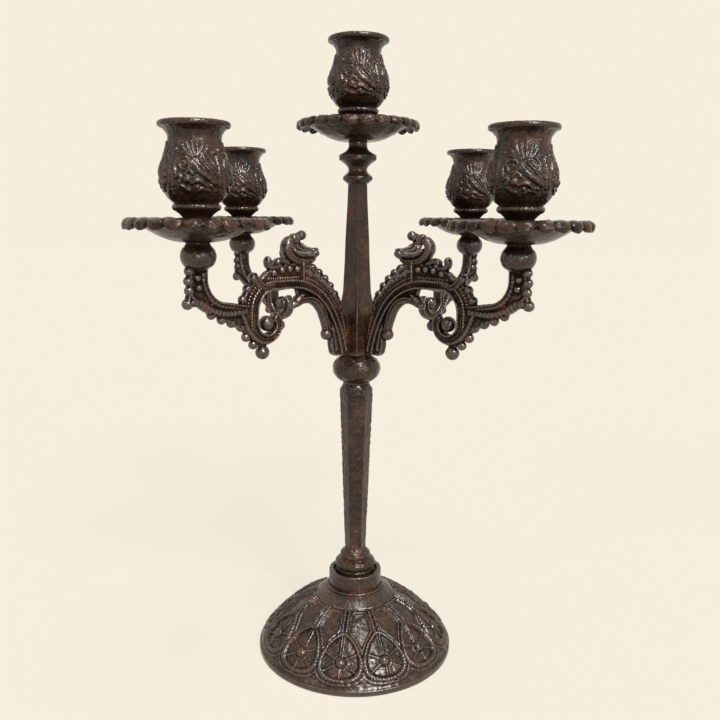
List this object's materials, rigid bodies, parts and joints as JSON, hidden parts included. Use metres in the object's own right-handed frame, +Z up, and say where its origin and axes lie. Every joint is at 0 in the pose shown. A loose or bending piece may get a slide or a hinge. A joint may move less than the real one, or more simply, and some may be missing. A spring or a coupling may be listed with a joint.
{
  "type": "candelabra",
  "caption": "Cast-iron table candelabra: domed base with medallions, baluster column, scroll arms, scalloped drip pans and vase-shaped candle cups.",
  "frame": {"origin": "centre of the base on the surface that it stands on", "axes": "+Z up along the column; -Y towards the front pair of arms, which stand 45 degrees to either side"},
  "size_m": [0.2428, 0.2428, 0.3937],
  "materials": {
    "iron": "dark brown, worn satin lacquer on rough casting",
    "steel": "dull zinc plated"
  },
  "bodies": {
    "root": {"base": "iron", "lower_column": "iron", "ring_knob": "iron", "upper_column": "iron", "arm_front_left": "iron", "arm_front_right": "iron", "arm_rear_left": "iron", "arm_rear_right": "iron", "pan_top": "iron", "pan_front_left": "iron", "pan_front_right": "iron", "pan_rear_left": "iron", "pan_rear_right": "iron", "cup_top": "iron", "cup_front_left": "iron", "cup_front_right": "iron", "cup_rear_left": "iron", "cup_rear_right": "iron", "tie_rod": "steel", "base_washer": "steel", "base_nut": "steel", "screw_top": "steel", "screw_front_left": "steel", "screw_front_right": "steel", "screw_rear_left": "steel", "screw_rear_right": "steel"}
  },
  "joints": []
}
